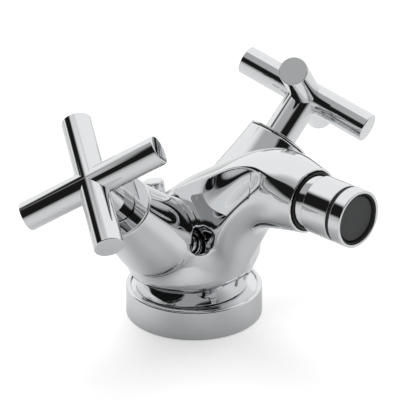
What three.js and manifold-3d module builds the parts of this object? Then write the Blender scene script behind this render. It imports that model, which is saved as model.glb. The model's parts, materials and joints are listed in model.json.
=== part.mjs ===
// Two-handle deck mixer with a swivelling ball outlet and a pop-up waste knob.
// Millimetres, +Z up. The origin is the centre of the base, on the deck. The spout points to -Y,
// the hot valve is on the -X side and the cold valve on the +X side.
import * as THREE from 'three';
import { mergeVertices } from 'three/addons/utils/BufferGeometryUtils.js';
import Module from 'manifold-3d';

const wasm = await Module();
wasm.setup();

// Clearances
const GAP = 0.3; // between pieces that touch or slide
const CUT = 1; // how far a cutting tool runs past the face it opens

// Base: a trim ring on a gasket, round the body's shank
const RING_R = 28.8;
const RING_H = 13.3;
const RING_LIP = 1.3; // width of the rounded outer lip of the ring
const RING_DISH = 1.0; // how far the ring's top dips towards the shank
const GASKET_T = 1.5;
const GASKET_R = 26.5;
const SHANK_R = 20;
const DECK_GAP = 0.2; // the ring stands this much above the gasket's underside

// Body hub: a round foot that flares upwards, set slightly back on the ring
const FOOT_R = 23.4;
const FOOT_Y = 1.7;
const HUB_R = 27.8; // at the rim, between the arms and the spout
const HUB_Z = 39.5; // height of the rim

// Valve arms
const VALVE_Z = 19.2; // the two valve axes meet on the Z axis at this height
const VALVE_RISE = 44.7; // degrees above the deck
const VALVE_LEAN = 3.3; // degrees towards the user
const ARM_END = 66.5; // face of the cap on the arm, measured along the axis from the meeting point
const CAP_T = 0.9; // the thin chromed cap that hides the headwork
const ARM_R = 13.55; // radius at the end face
const ARM_ROOT_R = 17.5; // radius where the arm leaves the hub
const BORE_R = 10.4; // bore for the headwork
const BORE_DEPTH = 23.5; // from the end face to the seat

// Headwork, discs and spindle
const DISC_PLAY = 0.5; // round the discs, inside the headwork
const DISC_T = 2.6;
const SEAL_T = 2.2;
const SPINDLE_R = 3.6;
const HEAD_WALL = 1.5;
const GUIDE_R = 5.6; // the headwork's upper guide, inside the handle's skirt
const GUIDE_L = 9.5; // how far the guide stands out of the arm
const SPINDLE_OUT = 17.5; // how far the spindle stands out of the arm

// Cross handle
const HANDLE_OUT = 22.4; // from the arm's end face to the centre of the cross
const BAR_R = 6.2;
const BAR_L = 62.5;
const NECK_R = 7.3;
const EDGE = 0.5; // broken edge on the bar ends
const HOT_ROLL = -41.5; // degrees, how each cross sits on its spline when shut
const COLD_ROLL = 21.3;
const SCREW_R = 1.5;

// Spout and outlet, along a level axis that points to -Y
const OUTLET_Z = 73;
const MOUTH_Y = -66.8;
const MOUTH_R = 13.65;
const MOUTH_WALL = 0.8;
const SEAT_T = 1.25; // the ball's seat, between it and the mouth's bore
const BALL_SET_BACK = 3; // from the mouth plane back to the ball's centre
const BALL_NECK = 1.8; // how much smaller the ball's neck is than the ball
const WATER_R = 5; // waterway through the ball
const HOUSING_R = 12;
const HOUSING_WALL = 2.2;
const HOUSING_START = 6.9; // from here on, distances are from the ball's centre
const SEAM_AT = 20.7;
const SEAM_W = 0.8;
const OUTLET_END = 27.6;
const COLLAR_WALL = 1.3;
const INSERT_DEPTH = 2; // how far the insert's face lies inside the collar
const INSERT_L = 8;

// Pop-up waste rod, leaning back so that it passes through the tap hole below
const ROD_LEAN = 11.5; // degrees
const ROD_FOOT_Y = SHANK_R - 6.4; // where its axis meets the deck
const ROD_R = 2.25;
const ROD_START = 1.5; // along the rod from the deck
const KNOB_R = 4.7;
const KNOB_GAP = 0.6; // between the knob and the back of the spout
const KNOB_REST = 1.9; // height of the resting knob above the hub's rim
const KNOB_L = 11.5;
const ROD_TRAVEL = 20;
const CLIP_AT = 5;
const CLIP_R = 3;
const CLIP_T = 1;
const BUSH_R = 3.9;
const BUSH_L = 8;

const chrome = { color: 0xd5d8db, metalness: 1, roughness: 0.06 };
const brass = { color: 0xc9a455, metalness: 1, roughness: 0.35 };
const blackRubber = { color: 0x16171a, metalness: 0, roughness: 0.7 };
const blackPlastic = { color: 0x1b1c1f, metalness: 0, roughness: 0.45 };
const whitePlastic = { color: 0xe6e4dc, metalness: 0, roughness: 0.5 };
const greyPlastic = { color: 0x404244, metalness: 0, roughness: 0.6 };
const ceramic = { color: 0xf1ede4, metalness: 0, roughness: 0.25 };
const springSteel = { color: 0x6f7276, metalness: 1, roughness: 0.35 };

// ---------- joining and cutting ----------

function solid(geometry) {
  const bare = geometry.clone();
  bare.deleteAttribute('normal');
  bare.deleteAttribute('uv');
  const merged = mergeVertices(bare, 1e-4);
  const corners = merged.index.array;
  const kept = [];
  for (let i = 0; i < corners.length; i += 3) {
    const [a, b, c] = corners.slice(i, i + 3);
    if (a !== b && b !== c && c !== a) kept.push(a, b, c);
  }
  const vertProperties = new Float32Array(merged.attributes.position.array);
  const whole = (tris) => new wasm.Manifold(
    new wasm.Mesh({ numProp: 3, vertProperties, triVerts: new Uint32Array(tris) }),
  );
  const made = whole(kept);
  return made.volume() > 0 ? made : whole(kept.reverse());
}

function toGeometry(made) {
  const mesh = made.getMesh();
  const geometry = new THREE.BufferGeometry();
  geometry.setAttribute('position', new THREE.BufferAttribute(new Float32Array(mesh.vertProperties), 3));
  geometry.setIndex(new THREE.BufferAttribute(new Uint32Array(mesh.triVerts), 1));
  geometry.computeVertexNormals();
  return geometry;
}

function join(first, ...others) {
  return others.reduce((sum, other) => sum.add(other), first);
}

function cut(first, ...others) {
  return others.reduce((left, other) => left.subtract(other), first);
}

// ---------- basic shapes, all turned about local Z ----------

// Profile points are [radius, height]. A profile off the axis is closed on itself.
function turned(profile, segments = 20) {
  const points = profile.map(([r, h]) => new THREE.Vector2(r, h));
  const offAxis = profile[0][0] > 0 || profile[profile.length - 1][0] > 0;
  if (offAxis) points.push(points[0].clone());
  return solid(new THREE.LatheGeometry(points, segments).rotateX(Math.PI / 2));
}

function rod(radius, from, to, segments = 20) {
  return turned([[0, from], [radius, from], [radius, to], [0, to]], segments);
}

function ring(inner, outer, from, to, segments = 20) {
  return turned([[inner, from], [outer, from], [outer, to], [inner, to]], segments);
}

function arc(radius, from, to, steps) {
  const points = [];
  for (let i = 0; i <= steps; i += 1) {
    const h = from + (to - from) * i / steps;
    points.push([Math.sqrt(radius * radius - h * h), h]);
  }
  return points;
}

// A round hole or rod between two points of the group's own frame
function between(start, end, radius, segments = 12) {
  const a = new THREE.Vector3(...start);
  const b = new THREE.Vector3(...end);
  const along = b.clone().sub(a);
  const shape = new THREE.CylinderGeometry(radius, radius, along.length(), segments);
  const turn = new THREE.Quaternion().setFromUnitVectors(new THREE.Vector3(0, 1, 0), along.normalize());
  shape.applyQuaternion(turn);
  shape.translate(...a.add(b).multiplyScalar(0.5).toArray());
  return solid(shape);
}

function knuckle(at, radius) {
  return solid(new THREE.SphereGeometry(radius, 10, 6).translate(...at));
}

function piece(name, shape, look) {
  const mesh = new THREE.Mesh(toGeometry(shape), new THREE.MeshStandardMaterial(look));
  mesh.name = name;
  return mesh;
}

// ---------- frames: the two valves, the outlet and the lift rod ----------

function frameGroup(origin, xAxis, zAxis) {
  const group = new THREE.Group();
  const z = zAxis.clone().normalize();
  const x = xAxis.clone().addScaledVector(z, -xAxis.dot(z)).normalize();
  const y = new THREE.Vector3().crossVectors(z, x);
  group.quaternion.setFromRotationMatrix(new THREE.Matrix4().makeBasis(x, y, z));
  group.position.copy(origin);
  group.updateMatrixWorld(true);
  return group;
}

const valveRise = THREE.MathUtils.degToRad(VALVE_RISE);

function valveAxis(side) {
  const lean = THREE.MathUtils.degToRad(VALVE_LEAN);
  const flat = Math.cos(lean);
  return new THREE.Vector3(side * Math.cos(valveRise) * flat, -Math.sin(lean), Math.sin(valveRise) * flat);
}

const valveOrigin = new THREE.Vector3(0, 0, VALVE_Z);
const yUnit = new THREE.Vector3(0, 1, 0);
const xUnit = new THREE.Vector3(1, 0, 0);
const hotFrame = frameGroup(valveOrigin, yUnit, valveAxis(-1));
const coldFrame = frameGroup(valveOrigin, yUnit, valveAxis(1));
const ballCentre = new THREE.Vector3(0, MOUTH_Y + BALL_SET_BACK, OUTLET_Z);
const outletFrame = frameGroup(ballCentre, xUnit, new THREE.Vector3(0, -1, 0));
const rodLean = THREE.MathUtils.degToRad(ROD_LEAN);
const rodAxis = new THREE.Vector3(0, Math.sin(rodLean), Math.cos(rodLean));
const rodFrame = frameGroup(new THREE.Vector3(0, ROD_FOOT_Y, 0), xUnit, rodAxis);

// A solid made in a group's frame, moved into the object's frame
function fromFrame(group, shape) {
  return solid(toGeometry(shape).applyMatrix4(group.matrixWorld));
}

// Places worked out from the sizes above
const BORE_END = ARM_END - BORE_DEPTH;
const CAP_SEAT = ARM_END - CAP_T - GAP; // where the casting's arm ends, under the cap
const DISC_R = BORE_R - GAP - HEAD_WALL - DISC_PLAY;
const GUIDE_TOP = ARM_END + GUIDE_L;
const SPINDLE_TOP = ARM_END + SPINDLE_OUT;
const HANDLE_S = ARM_END + HANDLE_OUT;
const BALL_R = MOUTH_R - MOUTH_WALL - SEAT_T;
const BALL_NECK_R = BALL_R - BALL_NECK;
const KNOB_BOTTOM = (HUB_Z + KNOB_REST) / Math.cos(rodLean);
const KNOB_TOP = KNOB_BOTTOM + KNOB_L;
const BUSH_TOP = KNOB_BOTTOM - GAP;
const BUSH_BOTTOM = BUSH_TOP - BUSH_L;

// ---------- the body casting ----------

const SHANK_TOP = RING_H - RING_DISH + GAP;

function hub() {
  const flare = [
    [0, SHANK_TOP],
    [FOOT_R, SHANK_TOP],
    [FOOT_R + 0.2, SHANK_TOP + 2.5],
    [FOOT_R + 1.3, SHANK_TOP + 7],
    [HUB_R - 1.6, HUB_Z - 12],
    [HUB_R - 0.5, HUB_Z - 5],
    [HUB_R, HUB_Z - 1.2],
    [HUB_R - 1, HUB_Z],
    [HUB_R - 6, HUB_Z - 0.6],
    [0, HUB_Z - 2],
  ];
  const shank = rod(SHANK_R, 0, SHANK_TOP + CUT, 36);
  return join(shank, turned(flare, 36).translate([0, FOOT_Y, 0]));
}

function arm(frame) {
  const profile = [
    [0, 12],
    [ARM_ROOT_R - 6.5, 14],
    [ARM_ROOT_R, 34],
    [ARM_ROOT_R - 1.2, ARM_END - 21.5],
    [ARM_R + 1.1, ARM_END - 11.5],
    [ARM_R + 0.25, ARM_END - 4.5],
    [ARM_R, CAP_SEAT],
    [0, CAP_SEAT],
  ];
  return fromFrame(frame, turned(profile, 28));
}

// Spout stations. A point is [share of the reach, share of the outlet's height, mouth radii added
// to the height]; a negative reach counts back to where the spout starts, in front of the knob.
// Widths and roundings are in mouth radii: half-width and drop of the side creases, half-width
// and rounding of the underside. mix is how far the section has turned into the round mouth.
const spoutStations = [
  { top: [-1, 0.67, 0], low: [0.12, 0.205, 0],
    crease: 0.66, drop: 0.22, under: 0.59, round: 0.44, mix: 0 },
  { top: [-0.48, 0.78, 0], low: [0.225, 0.233, 0],
    crease: 0.92, drop: 0.22, under: 0.73, round: 0.51, mix: 0 },
  { top: [0.05, 0.904, 0], low: [0.374, 0.329, 0],
    crease: 1.03, drop: 0.22, under: 0.88, round: 0.59, mix: 0 },
  { top: [0.27, 0.92, 0.57], low: [0.464, 0.6, -0.55],
    crease: 1.03, drop: 0.22, under: 0.92, round: 0.59, mix: 0 },
  { top: [0.48, 0.97, 0.97], low: [0.539, 0.81, -0.78],
    crease: 1.03, drop: 0.25, under: 0.92, round: 0.59, mix: 0 },
  { top: [0.644, 1, 1.1], low: [0.659, 1, -1.32],
    crease: 1.03, drop: 0.28, under: 0.92, round: 0.66, mix: 0.1 },
  { top: [0.808, 1, 1.13], low: [0.808, 1, -1.143],
    crease: 1, drop: 0.29, under: 0.92, round: 0.73, mix: 0.4 },
  { top: [0.913, 1, 1.07], low: [0.913, 1, -1.055],
    crease: 0.88, drop: 0.28, under: 0.92, round: 0.81, mix: 0.8 },
  { top: [1, 1, 1], low: [1, 1, -1],
    crease: 0.7, drop: 0.28, under: 0.88, round: 0.88, mix: 1 },
];
const SPOUT_BACK = ROD_FOOT_Y + KNOB_BOTTOM * Math.sin(rodLean) - KNOB_R - KNOB_GAP;

function place([reach, height, radii]) {
  const y = reach < 0 ? -reach * SPOUT_BACK : reach * MOUTH_Y;
  return [y, height * OUTLET_Z + radii * MOUTH_R];
}

const SPOUT_SIDES = 32; // a quarter each for the top band, the two sides and the underside
const TOP_CORNER = 46.5; // degrees, where the creases meet the round mouth
const LOW_CORNER = -50;

// Point of a section as [x, height], with angle from 0 to 1 round the section from the right crease
function sectionPoint(station, half, turnShare) {
  const quarter = Math.floor(turnShare * 4) % 4;
  const k = turnShare * 4 - Math.floor(turnShare * 4);
  const rad = THREE.MathUtils.degToRad;
  const [crease, drop, under, round] = [station.crease, station.drop, station.under, station.round]
    .map((radii) => radii * MOUTH_R);
  let angle;
  let x;
  let h;
  if (quarter === 0) {
    angle = TOP_CORNER + (180 - 2 * TOP_CORNER) * k;
    x = crease * (1 - 2 * k);
    h = half - drop * (1 - 2 * k) ** 2;
  } else if (quarter === 2) {
    angle = 180 - LOW_CORNER + (180 + 2 * LOW_CORNER) * k;
    x = -under * Math.cos(Math.PI * k);
    h = -half + round * (1 - Math.sin(Math.PI * k));
  } else {
    const down = quarter === 1 ? k : 1 - k;
    const swing = TOP_CORNER + (LOW_CORNER - TOP_CORNER) * down;
    angle = quarter === 1 ? 180 - swing : swing;
    x = (crease + (under - crease) * down) * (quarter === 1 ? -1 : 1);
    h = half - drop + (round - 2 * half + drop) * down;
  }
  const circle = [half * Math.cos(rad(angle)), half * Math.sin(rad(angle))];
  return [x + (circle[0] - x) * station.mix, h + (circle[1] - h) * station.mix];
}

function spout() {
  const steps = spoutStations.length - 1;
  const tube = new THREE.CylinderGeometry(1, 1, 1, SPOUT_SIDES, steps);
  const position = tube.attributes.position;
  for (let i = 0; i < position.count; i += 1) {
    const station = spoutStations[Math.round((position.getY(i) + 0.5) * steps)];
    const reach = Math.hypot(position.getX(i), position.getZ(i));
    const share = (Math.atan2(position.getZ(i), position.getX(i)) / (2 * Math.PI) + 1.125) % 1;
    const [topY, topZ] = place(station.top);
    const [lowY, lowZ] = place(station.low);
    const half = Math.hypot(topY - lowY, topZ - lowZ) / 2;
    const nearest = Math.round(share * SPOUT_SIDES) / SPOUT_SIDES % 1;
    const [x, h] = sectionPoint(station, half, nearest);
    const lift = reach * h / (2 * half);
    const y = (topY + lowY) / 2 + (topY - lowY) * lift;
    const z = (topZ + lowZ) / 2 + (topZ - lowZ) * lift;
    position.setXYZ(i, reach * x, y, z);
  }
  return solid(tube);
}

// Sizes and places of the drilled waterways in the casting
const INLET_R = 5;
const INLET_X = SHANK_R - 10;
const INLET_TOP = VALVE_Z + INLET_X * Math.tan(valveRise);
const FEED_R = 3.6;
const STUD_R = 4;
const STUD_Y = 7.5 - SHANK_R;
const STUD_DEPTH = 18;
const MIX_R = 3.2;
const MIX_AT = [0, -13, HUB_Z + 1.5];
const MIX_SIDE_Y = -7; // the mixing drillings pass beside the feed drillings
const spoutWay = [
  MIX_AT,
  [0, ...place([0.3, 0.767, 0])],
  [0, ...place([0.554, 0.945, 0])],
  [0, MOUTH_Y + 16.5, OUTLET_Z],
];

function valveBore(frame) {
  const bore = rod(BORE_R, BORE_END, ARM_END + CUT);
  const feed = rod(FEED_R, INLET_X / Math.cos(valveRise), BORE_END + CUT, 16);
  return fromFrame(frame, join(bore, feed));
}

function mixDrilling(side) {
  const axis = valveAxis(side);
  const start = valveOrigin.clone().addScaledVector(axis, BORE_END + 3.4);
  return between([start.x, start.y + MIX_SIDE_Y, start.z], MIX_AT, MIX_R);
}

function outletCavity() {
  const mouth = MOUTH_R - MOUTH_WALL;
  const pocket = BALL_R + SEAT_T + 0.05;
  const back = -9.2;
  const profile = [
    [0, BALL_SET_BACK + CUT],
    [mouth, BALL_SET_BACK + CUT],
    [mouth, 0.6],
    ...arc(pocket, 0, back, 4),
    [Math.sqrt(pocket * pocket - back * back), -13.6],
    [0, -13.6],
  ];
  return fromFrame(outletFrame, turned(profile, 28));
}

function rodHole() {
  const guide = rod(ROD_R + GAP, -CUT * 3, KNOB_TOP, 20);
  const bushSeat = rod(BUSH_R + GAP, BUSH_BOTTOM - GAP, KNOB_TOP + CUT, 24);
  const clipRoom = rod(CLIP_R + GAP * 2, -CUT * 3, CLIP_AT + CLIP_T + ROD_TRAVEL + GAP, 20);
  return fromFrame(rodFrame, join(guide, bushSeat, clipRoom));
}

function mixerBody() {
  const casting = join(hub(), arm(hotFrame), arm(coldFrame), spout());
  const inlets = [-INLET_X, INLET_X].map(
    (x) => between([x, 0, -CUT], [x, 0, INLET_TOP], INLET_R, 24),
  );
  const stud = between([0, STUD_Y, -CUT], [0, STUD_Y, STUD_DEPTH], STUD_R, 20);
  const ways = spoutWay.slice(1).map((end, i) => between(spoutWay[i], end, WATER_R));
  const bends = spoutWay.slice(0, -1).map((at) => knuckle(at, WATER_R));
  return cut(
    casting,
    valveBore(hotFrame),
    valveBore(coldFrame),
    mixDrilling(-1),
    mixDrilling(1),
    outletCavity(),
    rodHole(),
    stud,
    ...inlets,
    ...ways,
    ...bends,
  );
}

function base() {
  const inner = SHANK_R + GAP;
  const trim = [
    [inner, GASKET_T + GAP],
    [GASKET_R + GAP, GASKET_T + GAP],
    [GASKET_R + GAP, DECK_GAP],
    [RING_R, DECK_GAP],
    [RING_R, RING_H - 0.5],
    [RING_R - 0.5, RING_H],
    [RING_R - RING_LIP, RING_H],
    [RING_R - RING_LIP - 0.5, RING_H - RING_DISH],
    [inner, RING_H - RING_DISH],
  ];
  return [
    piece('base_ring', turned(trim, 40), chrome),
    piece('base_gasket', ring(inner, GASKET_R, 0, GASKET_T, 32), blackRubber),
  ];
}

// ---------- one valve, from the seat outwards ----------

function valve(frame, prefix, roll, screwTurn) {
  const seatTop = BORE_END + GAP + SEAL_T;
  const fixedAt = seatTop + GAP;
  const movingAt = fixedAt + DISC_T + GAP;
  const flangeAt = movingAt + DISC_T + GAP;
  const flangeTop = flangeAt + 1.6;
  const headR = BORE_R - GAP;
  const roomR = headR - HEAD_WALL;
  const stemHole = SPINDLE_R + GAP;
  const washerT = 1.2;
  const headTop = CAP_SEAT;
  const shoulder = headTop - 6;
  const ringAt = flangeTop + 5;

  const headwork = turned([
    [roomR, fixedAt - GAP],
    [headR, fixedAt - GAP],
    [headR, shoulder - washerT - GAP * 2],
    [headR - 1.4, shoulder - washerT - GAP * 2],
    [headR - 1.4, shoulder],
    [headR, shoulder],
    [headR, headTop],
    [GUIDE_R, headTop],
    [GUIDE_R, GUIDE_TOP],
    [stemHole, GUIDE_TOP],
    [stemHole, flangeTop + GAP],
    [roomR, flangeTop + GAP],
  ]);
  const windowAt = movingAt + DISC_T / 2 + 0.4;
  const window = between([0, -headR - CUT, windowAt], [0, headR + CUT, windowAt], 2.2, 10);
  const washer = ring(headR - 1.1, BORE_R - 0.1, shoulder - washerT - GAP, shoulder - GAP);

  const seatSeal = ring(FEED_R + 1.4, DISC_R - 0.4, BORE_END + GAP, seatTop);
  const port = (turn, from) => between(
    [4.6 * Math.cos(turn), 4.6 * Math.sin(turn), from - CUT],
    [4.6 * Math.cos(turn), 4.6 * Math.sin(turn), from + DISC_T + CUT],
    2.1,
    10,
  );
  const fixedDisc = cut(rod(DISC_R, fixedAt, fixedAt + DISC_T), port(0, fixedAt), port(Math.PI, fixedAt));
  const quarter = Math.PI / 2;
  const movingDisc = cut(
    rod(DISC_R, movingAt, movingAt + DISC_T),
    port(quarter, movingAt),
    port(-quarter, movingAt),
  );

  const cap = turned([
    [GUIDE_R + GAP, ARM_END - CAP_T],
    [ARM_R, ARM_END - CAP_T],
    [ARM_R, ARM_END - CAP_T / 3],
    [ARM_R - CAP_T / 3, ARM_END],
    [GUIDE_R + GAP, ARM_END],
  ], 28);

  const groove = SPINDLE_R - 1;
  const clipAt = GUIDE_TOP + GAP * 2;
  const clipT = 0.8;
  const spindle = turned([
    [0, flangeAt],
    [roomR - GAP * 2, flangeAt],
    [roomR - GAP * 2, flangeTop],
    [SPINDLE_R, flangeTop],
    [SPINDLE_R, ringAt],
    [groove, ringAt],
    [groove, ringAt + 2.4],
    [SPINDLE_R, ringAt + 2.4],
    [SPINDLE_R, clipAt - GAP],
    [groove, clipAt - GAP],
    [groove, clipAt + clipT + GAP],
    [SPINDLE_R, clipAt + clipT + GAP],
    [SPINDLE_R, SPINDLE_TOP],
    [0, SPINDLE_TOP],
  ], 20);
  const sealRing = ring(groove + GAP, SPINDLE_R + 0.15, ringAt + GAP, ringAt + 2.4 - GAP, 20);
  const clip = ring(groove + GAP, GUIDE_R - GAP, clipAt, clipAt + clipT, 20);

  const bar = (turn) => turned([
    [0, -BAR_L / 2],
    [BAR_R - EDGE, -BAR_L / 2],
    [BAR_R, -BAR_L / 2 + EDGE],
    [BAR_R, BAR_L / 2 - EDGE],
    [BAR_R - EDGE, BAR_L / 2],
    [0, BAR_L / 2],
  ], 24).rotate([0, 90, 0]).rotate([0, 0, turn]).translate([0, 0, HANDLE_S]);
  const skirtBottom = ARM_END + 0.5;
  const skirtTop = clipAt + clipT + GAP * 2;
  const screwAt = SPINDLE_TOP - 3;
  const out = THREE.MathUtils.degToRad(roll + screwTurn);
  const spoke = (radius) => [radius * Math.cos(out), radius * Math.sin(out), screwAt];
  const handle = cut(
    join(rod(NECK_R, skirtBottom, HANDLE_S, 24), bar(roll), bar(roll + 90)),
    rod(GUIDE_R + GAP * 2, skirtBottom - CUT, skirtTop),
    rod(SPINDLE_R + GAP, skirtBottom, SPINDLE_TOP + GAP, 20),
    between(spoke(SPINDLE_R), spoke(NECK_R + CUT), SCREW_R + GAP, 12),
  );
  const screw = between(spoke(SPINDLE_R + GAP * 2), spoke(NECK_R - GAP), SCREW_R, 12);

  frame.add(
    piece(`${prefix}_headwork`, cut(headwork, window), brass),
    piece(`${prefix}_headwork_washer`, washer, blackRubber),
    piece(`${prefix}_bonnet_cap`, cap, chrome),
    piece(`${prefix}_seat_seal`, seatSeal, blackRubber),
    piece(`${prefix}_fixed_disc`, fixedDisc, ceramic),
    piece(`${prefix}_moving_disc`, movingDisc, ceramic),
    piece(`${prefix}_spindle`, spindle, brass),
    piece(`${prefix}_spindle_ring`, sealRing, blackRubber),
    piece(`${prefix}_spindle_clip`, clip, springSteel),
    piece(`${prefix}_handle`, handle, chrome),
    piece(`${prefix}_handle_screw`, screw, springSteel),
  );
  return frame;
}

// ---------- the ball outlet, from the seal outwards ----------

function outlet() {
  const linerIn = BALL_R + GAP;
  const linerOut = BALL_R + 1;
  const rear = -8.4;
  const sealR = 7.6;
  const sealAt = -12.1;
  const seal = solid(new THREE.TorusGeometry(sealR, 1.1, 6, 24).translate(0, 0, sealAt));
  const liner = turned([...arc(linerOut, rear - 0.2, -4, 3), ...arc(linerIn, -4, rear - 0.2, 3)]);
  const retainerR = MOUTH_R - MOUTH_WALL - GAP;
  const lip = BALL_SET_BACK + 0.6;
  const retainer = turned([[retainerR, lip], [retainerR, -0.8], ...arc(linerIn, -0.8, lip, 3)].reverse(), 28);

  const neckAt = Math.sqrt(BALL_R * BALL_R - BALL_NECK_R * BALL_NECK_R);
  const spigotR = HOUSING_R - HOUSING_WALL - GAP;
  const spigotEnd = HOUSING_START + 8;
  const nipple = turned([
    [WATER_R, rear],
    ...arc(BALL_R, rear, neckAt, 8),
    [BALL_NECK_R, HOUSING_START - GAP],
    [spigotR, HOUSING_START - GAP],
    [spigotR, spigotEnd],
    [WATER_R, spigotEnd],
  ], 28);

  const boreR = HOUSING_R - HOUSING_WALL;
  const collarR = HOUSING_R - COLLAR_WALL;
  const housing = turned([
    [boreR, HOUSING_START],
    [HOUSING_R - EDGE, HOUSING_START],
    [HOUSING_R, HOUSING_START + EDGE],
    [HOUSING_R, SEAM_AT],
    [boreR, SEAM_AT],
  ], 32);
  const seam = ring(boreR, HOUSING_R - 0.4, SEAM_AT + GAP / 2, SEAM_AT + SEAM_W - GAP / 2, 28);
  const collarStart = SEAM_AT + SEAM_W;
  const collar = turned([
    [collarR, collarStart],
    [HOUSING_R, collarStart],
    [HOUSING_R, OUTLET_END - EDGE],
    [HOUSING_R - EDGE, OUTLET_END],
    [collarR, OUTLET_END],
  ], 32);

  const insertR = collarR - GAP;
  const insertEnd = OUTLET_END - 0.3;
  const faceAt = OUTLET_END - INSERT_DEPTH;
  const insertStart = faceAt - 1.8;
  const stemR = boreR - GAP;
  const cup = turned([
    [0, faceAt],
    [insertR - 0.8, faceAt],
    [insertR - 0.8, insertEnd],
    [insertR, insertEnd],
    [insertR, insertStart],
    [stemR, insertStart],
    [stemR, insertEnd - INSERT_L],
    [stemR - 1, insertEnd - INSERT_L],
    [stemR - 1, insertStart],
    [0, insertStart],
  ].reverse(), 28);
  const jetCircle = (stemR - 1) * 0.64;
  const jets = [];
  for (let i = 0; i < 8; i += 1) {
    const turn = i * Math.PI / 4;
    const at = [jetCircle * Math.cos(turn), jetCircle * Math.sin(turn)];
    jets.push(between([...at, insertStart - CUT], [...at, faceAt + CUT], 1.1, 6));
  }
  jets.push(between([0, 0, insertStart - CUT], [0, 0, faceAt + CUT], 1.4, 8));
  const washer = ring(WATER_R + 0.6, stemR, spigotEnd + GAP, spigotEnd + GAP + 1.6);

  outletFrame.add(
    piece('swivel_seal', seal, blackRubber),
    piece('swivel_liner', liner, whitePlastic),
    piece('swivel_retainer', retainer, blackPlastic),
    piece('ball_nipple', nipple, chrome),
    piece('aerator_housing', housing, chrome),
    piece('seam_ring', seam, blackRubber),
    piece('aerator_collar', collar, chrome),
    piece('aerator_insert', cut(cup, ...jets), greyPlastic),
    piece('aerator_washer', washer, blackRubber),
  );
  return outletFrame;
}

// ---------- the pop-up waste rod ----------

function liftRod() {
  const rodTop = KNOB_TOP - 5;
  const knob = turned([
    [0, KNOB_TOP],
    [KNOB_R - 0.8, KNOB_TOP],
    [KNOB_R, KNOB_TOP - 0.8],
    [KNOB_R, KNOB_BOTTOM + 0.8],
    [KNOB_R - 0.8, KNOB_BOTTOM],
    [ROD_R + GAP, KNOB_BOTTOM],
    [ROD_R + GAP, rodTop + GAP],
    [0, rodTop + GAP],
  ].reverse());
  const groove = ROD_R - 0.7;
  const stem = turned([
    [0, ROD_START],
    [ROD_R, ROD_START],
    [ROD_R, CLIP_AT - GAP],
    [groove, CLIP_AT - GAP],
    [groove, CLIP_AT + CLIP_T + GAP],
    [ROD_R, CLIP_AT + CLIP_T + GAP],
    [ROD_R, rodTop],
    [0, rodTop],
  ], 20);
  const clip = ring(groove + GAP, CLIP_R, CLIP_AT, CLIP_AT + CLIP_T, 20);
  const bush = ring(ROD_R + GAP, BUSH_R, BUSH_BOTTOM, BUSH_TOP, 24);
  rodFrame.add(
    piece('lift_knob', knob, chrome),
    piece('lift_rod', stem, chrome),
    piece('lift_rod_clip', clip, springSteel),
    piece('lift_rod_bush', bush, whitePlastic),
  );
  return rodFrame;
}

// ---------- the assembly ----------

const mixer = new THREE.Group();
mixer.add(piece('mixer_body', mixerBody(), chrome));
mixer.add(...base());
mixer.add(valve(hotFrame, 'hot', HOT_ROLL, 45));
mixer.add(valve(coldFrame, 'cold', COLD_ROLL, -45));
mixer.add(outlet());
mixer.add(liftRod());

export default mixer;
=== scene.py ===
import json
import math

import bmesh
import bpy
import numpy as np
import openvdb
from mathutils import Matrix, Vector


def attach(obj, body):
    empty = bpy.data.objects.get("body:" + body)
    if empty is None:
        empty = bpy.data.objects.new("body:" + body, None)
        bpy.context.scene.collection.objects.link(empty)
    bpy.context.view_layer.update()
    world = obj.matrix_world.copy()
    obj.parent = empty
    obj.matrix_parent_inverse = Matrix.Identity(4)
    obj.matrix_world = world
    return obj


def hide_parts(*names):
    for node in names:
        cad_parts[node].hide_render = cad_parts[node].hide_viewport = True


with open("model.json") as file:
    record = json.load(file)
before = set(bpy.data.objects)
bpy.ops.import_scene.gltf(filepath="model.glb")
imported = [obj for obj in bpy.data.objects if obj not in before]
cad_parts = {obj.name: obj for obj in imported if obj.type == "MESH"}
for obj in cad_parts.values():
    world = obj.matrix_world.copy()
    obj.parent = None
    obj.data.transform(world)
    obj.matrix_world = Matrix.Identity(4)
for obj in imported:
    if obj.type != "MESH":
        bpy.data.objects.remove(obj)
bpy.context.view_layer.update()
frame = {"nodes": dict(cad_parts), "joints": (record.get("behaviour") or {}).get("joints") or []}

# ---------- Camera ----------
# It stands to the user's left and a little above the spout, far off with a long lens, so that
# upright edges stay nearly parallel, and it aims at the casting's hub.

view_turn = math.radians(45.64)
view_rise = math.radians(25.37)
view_back = Vector((-math.sin(view_turn) * math.cos(view_rise),
                    -math.cos(view_turn) * math.cos(view_rise),
                    math.sin(view_rise)))
view_aim = Vector((0.01595, 0.01209, 0.0419))
view_distance = 1.376

camera = bpy.data.objects.new("camera", bpy.data.cameras.new("camera"))
bpy.context.scene.collection.objects.link(camera)
camera.data.sensor_width = 36
camera.data.lens = 292.2
camera.location = view_aim + view_back * view_distance
camera.rotation_mode = "QUATERNION"
camera.rotation_quaternion = (-view_back).to_track_quat("-Z", "Y")
bpy.context.scene.camera = camera

# ---------- Studio ----------
# A white table in front of a white sweep, under soft light from above and behind. The room on the
# camera's side stays dark, and it draws the black streaks that polished chrome shows.

scene = bpy.context.scene
scene.view_settings.view_transform = "Standard"

back_light = 1.02
front_light = 0.47
dark_room = 0.012
dark_low, dark_high = math.radians(7), math.radians(43)
dark_middle_turn = math.radians(-27)
dark_half_turn = math.radians(89)
front_blend, low_blend, high_blend, side_blend = 0.45, 0.09, 0.06, 0.12

world = bpy.data.worlds.new("studio")
world.use_nodes = True
scene.world = world
room = world.node_tree
toward_camera = Vector((view_back.x, view_back.y, 0)).normalized()
beside_camera = Vector((-toward_camera.y, toward_camera.x, 0))


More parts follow.
